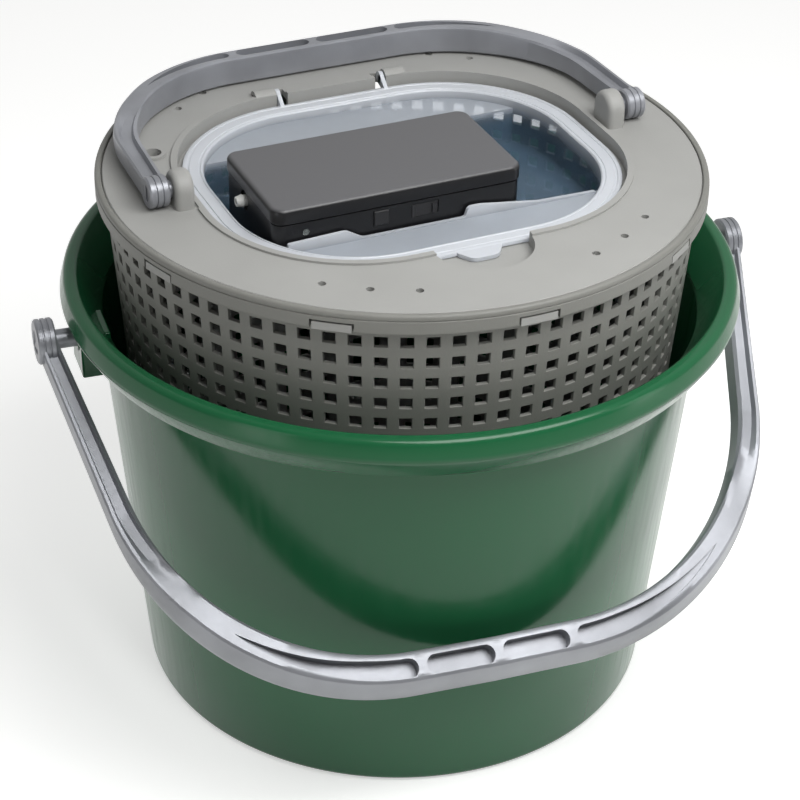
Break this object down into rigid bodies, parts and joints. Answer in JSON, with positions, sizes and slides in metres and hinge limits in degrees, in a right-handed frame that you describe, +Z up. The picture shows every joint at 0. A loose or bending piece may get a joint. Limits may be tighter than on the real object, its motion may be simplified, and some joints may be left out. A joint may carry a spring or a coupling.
{
  "type": "aerated bait bucket",
  "caption": "Lidded bait bucket with a lift-out perforated basket, two swing bails and a hatch whose sunk tray holds a battery air pump.",
  "frame": {"origin": "centre of the bucket's flat foot, on the surface it stands on", "axes": "+Z up through the lid; +X along the insert handle's pivot axis; -Y is the front, where the hatch's finger tab is, and the hatch's hinge is at +Y"},
  "size_m": [0.3488, 0.3209, 0.2817],
  "materials": {
    "green_bucket": "gloss dark green polypropylene",
    "grey_bail": "satin light grey plastic",
    "grey_basket": "matt warm grey plastic",
    "grey_lid": "matt light grey plastic",
    "frosted_hatch": "frosted clear polypropylene",
    "pump_case": "matt black plastic",
    "pump_cover": "satin dark grey plastic",
    "seal_rubber": "black rubber",
    "steel": "zinc-plated steel",
    "button_rubber": "matt dark rubber",
    "switch_black": "black plastic",
    "lens": "clear plastic",
    "cell_wrap": "shrink wrap",
    "board_green": "green board",
    "white_works": "white acetal",
    "felt": "grey felt",
    "lead_red": "insulated wire"
  },
  "bodies": {
    "bucket": {"bucket": "green_bucket"},
    "bucket_handle": {"bucket_handle": "grey_bail"},
    "insert": {"basket": "grey_basket", "lid": "grey_lid"},
    "insert_handle": {"insert_handle": "grey_bail"},
    "hatch": {"hatch": "frosted_hatch"},
    "pump": {"pump_bottom_case": "pump_case", "pump_top_case": "pump_cover", "case_seal": "seal_rubber", "case_screws": "steel", "rubber_feet": "seal_rubber", "tact_switch": "switch_black", "charge_socket": "steel", "indicator_lens": "lens", "battery_cells": "cell_wrap", "cell_holder": "switch_black", "battery_contacts": "steel", "circuit_board": "board_green", "motor": "steel", "motor_cradle": "switch_black", "lever_pin": "steel", "valve_block": "white_works", "valve_flaps": "seal_rubber", "diaphragm": "seal_rubber", "air_nozzle": "white_works", "intake_filter": "felt", "motor_leads": "lead_red"},
    "power_button": {"power_button": "button_rubber"},
    "charge_cover": {"charge_cover": "button_rubber"},
    "crank": {"motor_shaft": "steel", "eccentric_wheel": "white_works"},
    "pump_lever": {"pump_lever": "white_works"}
  },
  "joints": [
    {"name": "bucket_handle_swing", "type": "hinge", "parent": "bucket", "child": "bucket_handle", "pos_m": [0, 0, 0.198], "axis": [-0.9945, 0.1045, 0], "range_deg": [0, 255]},
    {"name": "insert_lift", "type": "slide", "parent": "bucket", "child": "insert", "axis": [0, 0, 1], "range_m": [0, 0.26]},
    {"name": "insert_handle_swing", "type": "hinge", "parent": "insert", "child": "insert_handle", "pos_m": [0, 0, 0.2732], "axis": [1, 0, 0], "range_deg": [0, 180]},
    {"name": "hatch_hinge", "type": "hinge", "parent": "insert", "child": "hatch", "pos_m": [0, 0.088, 0.2646], "axis": [-1, 0, 0], "range_deg": [0, 95]},
    {"name": "pump_lift", "type": "slide", "parent": "hatch", "child": "pump", "axis": [0, 0, 1], "range_m": [0, 0.08]},
    {"name": "power_button_press", "type": "slide", "parent": "pump", "child": "power_button", "axis": [0, 1, 0], "range_m": [0, 0.0006], "stiffness_N_per_m": 400, "springref_m": -0.0003},
    {"name": "charge_cover_hinge", "type": "hinge", "parent": "pump", "child": "charge_cover", "pos_m": [-0.0151, -0.045, 0.2649], "axis": [0, 0, -1], "range_deg": [0, 110]},
    {"name": "crank_spin", "type": "hinge", "parent": "pump", "child": "crank", "pos_m": [-0.047, -0.03, 0.2555], "axis": [0, 1, 0], "continuous": true},
    {"name": "pump_lever_rock", "type": "hinge", "parent": "pump", "child": "pump_lever", "pos_m": [-0.047, -0.008, 0.2474], "axis": [0, 1, 0], "range_deg": [0, 4]}
  ]
}
